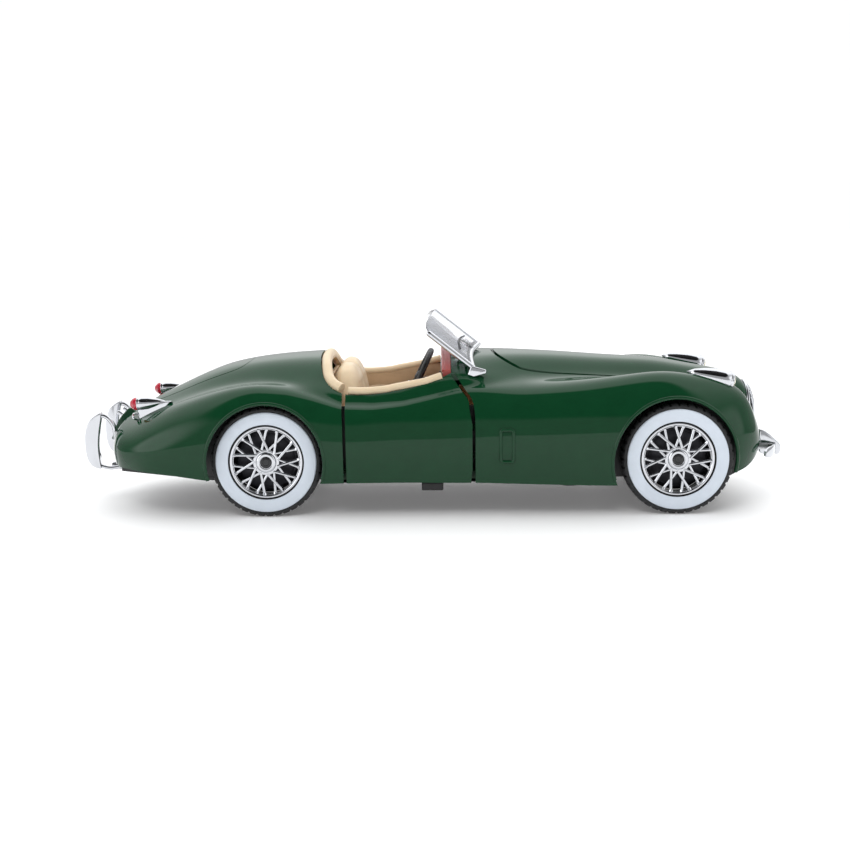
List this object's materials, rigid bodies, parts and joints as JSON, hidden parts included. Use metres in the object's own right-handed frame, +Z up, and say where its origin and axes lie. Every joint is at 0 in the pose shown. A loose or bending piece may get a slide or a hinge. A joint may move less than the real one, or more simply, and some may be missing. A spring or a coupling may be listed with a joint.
{
  "type": "toy car",
  "caption": "Small-scale diecast open two-seat roadster with flowing fenders, wire wheels, whitewall tyres, opening doors and hood, on a screwed baseplate.",
  "frame": {"origin": "centre of the overall plan box, on the ground under the tyres", "axes": "+X forwards to the nose, +Y to the car's left, +Z up"},
  "size_m": [0.1898, 0.0654, 0.0527],
  "materials": {
    "paint": "high gloss clear-coated green",
    "base_black": "fine grained black",
    "steel": "plated",
    "trim_tan": "soft satin tan",
    "dash_red": "satin red-brown",
    "control_black": "semi gloss black",
    "clear": "clear",
    "chrome": "vacuum plated mirror",
    "lens_red": "clear red",
    "engine_grey": "satin",
    "tyre_black": "soft rubber",
    "band_white": "smooth satin white",
    "drum_metal": "satin plated"
  },
  "bodies": {
    "car": {"body_shell": "paint", "baseplate": "base_black", "exhaust": "base_black", "hood_pin": "steel", "door_pin_left": "steel", "door_pin_right": "steel", "base_screw_1": "steel", "base_screw_2": "steel", "base_screw_3": "steel", "base_screw_4": "steel", "interior_tub": "trim_tan", "seat_left": "trim_tan", "seat_right": "trim_tan", "cockpit_trim": "trim_tan", "dashboard": "dash_red", "steering_wheel": "control_black", "gear_lever": "control_black", "instruments": "control_black", "windscreen_glass": "clear", "headlight_lens_left": "clear", "headlight_lens_right": "clear", "windscreen_frame": "chrome", "headlight_left": "chrome", "headlight_right": "chrome", "tail_lamp_left": "chrome", "tail_lamp_right": "chrome", "grille": "chrome", "front_bumper_left": "chrome", "front_bumper_right": "chrome", "rear_overrider_left": "chrome", "rear_overrider_right": "chrome", "number_plate_mount": "chrome", "tail_lens_left": "lens_red", "tail_lens_right": "lens_red", "engine": "engine_grey", "radiator": "engine_grey"},
    "hood": {"hood": "paint"},
    "door_left": {"door_left": "paint", "door_trim_left": "trim_tan"},
    "door_right": {"door_right": "paint", "door_trim_right": "trim_tan"},
    "front_wheels": {"front_axle": "steel", "tyre_front_left": "tyre_black", "tyre_front_right": "tyre_black", "whitewall_front_left": "band_white", "whitewall_front_right": "band_white", "wire_wheel_front_left": "chrome", "wire_wheel_front_right": "chrome", "brake_drum_front_left": "drum_metal", "brake_drum_front_right": "drum_metal"},
    "rear_wheels": {"rear_axle": "steel", "tyre_rear_left": "tyre_black", "tyre_rear_right": "tyre_black", "whitewall_rear_left": "band_white", "whitewall_rear_right": "band_white", "wire_wheel_rear_left": "chrome", "wire_wheel_rear_right": "chrome", "brake_drum_rear_left": "drum_metal", "brake_drum_rear_right": "drum_metal"}
  },
  "joints": [
    {"name": "hood_hinge", "type": "hinge", "parent": "car", "child": "hood", "pos_m": [0.01415, 0, 0.0374], "axis": [0, -1, 0], "range_deg": [0, 40]},
    {"name": "door_left_hinge", "type": "hinge", "parent": "car", "child": "door_left", "pos_m": [0.01355, 0.0286, 0.0195], "axis": [0, 0, -1], "range_deg": [0, 50]},
    {"name": "door_right_hinge", "type": "hinge", "parent": "car", "child": "door_right", "pos_m": [0.01355, -0.0286, 0.0195], "axis": [0, 0, 1], "range_deg": [0, 50]},
    {"name": "front_axle_spin", "type": "hinge", "parent": "car", "child": "front_wheels", "pos_m": [0.06455, 0, 0.0147], "axis": [0, 1, 0], "continuous": true},
    {"name": "rear_axle_spin", "type": "hinge", "parent": "car", "child": "rear_wheels", "pos_m": [-0.04345, 0, 0.0147], "axis": [0, 1, 0], "continuous": true}
  ]
}
